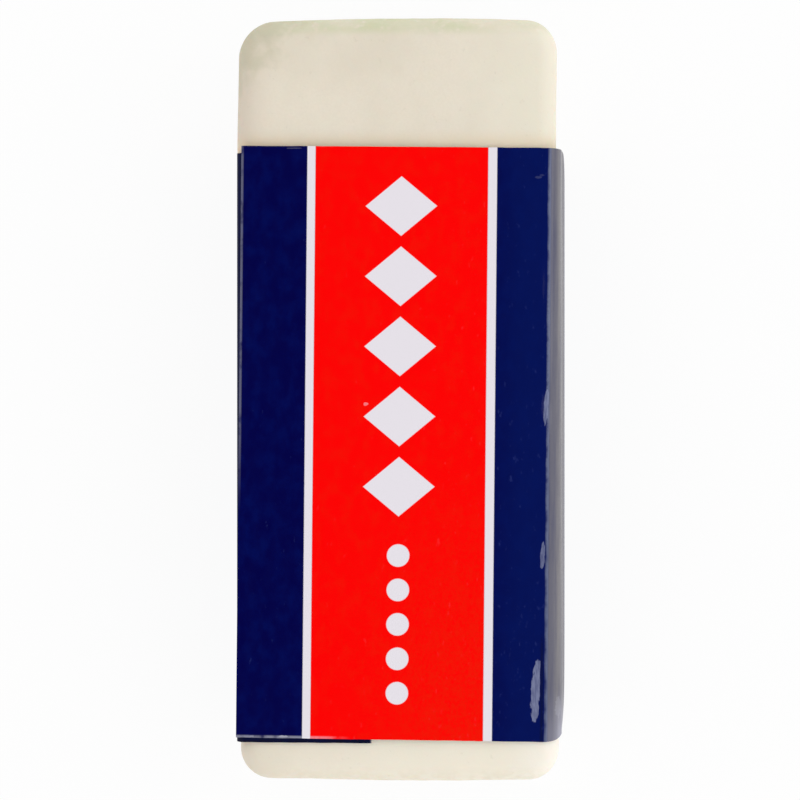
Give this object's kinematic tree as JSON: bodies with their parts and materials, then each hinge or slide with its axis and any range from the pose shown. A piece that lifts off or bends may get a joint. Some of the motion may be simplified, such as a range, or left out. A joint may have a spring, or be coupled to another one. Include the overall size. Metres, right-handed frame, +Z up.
{
  "type": "rubber eraser",
  "caption": "Rectangular rubber eraser with worn, rounded ends in a glued card sleeve that slides along it and comes off.",
  "frame": {"origin": "under the middle of the whole eraser, on the surface that the sleeve's back panel lies on", "axes": "+X across the eraser, +Y along it towards the long bare end, +Z up out of the printed front panel"},
  "size_m": [0.025, 0.0582, 0.0132],
  "materials": {
    "rubber": "matte",
    "printed_card": "gloss"
  },
  "bodies": {
    "block": {"rubber_block": "rubber"},
    "sleeve": {"card_sleeve": "printed_card"}
  },
  "joints": [
    {"name": "sleeve_slide", "type": "slide", "parent": "block", "child": "sleeve", "axis": [0, 1, 0], "range_m": [-0.049, 0.056]}
  ]
}
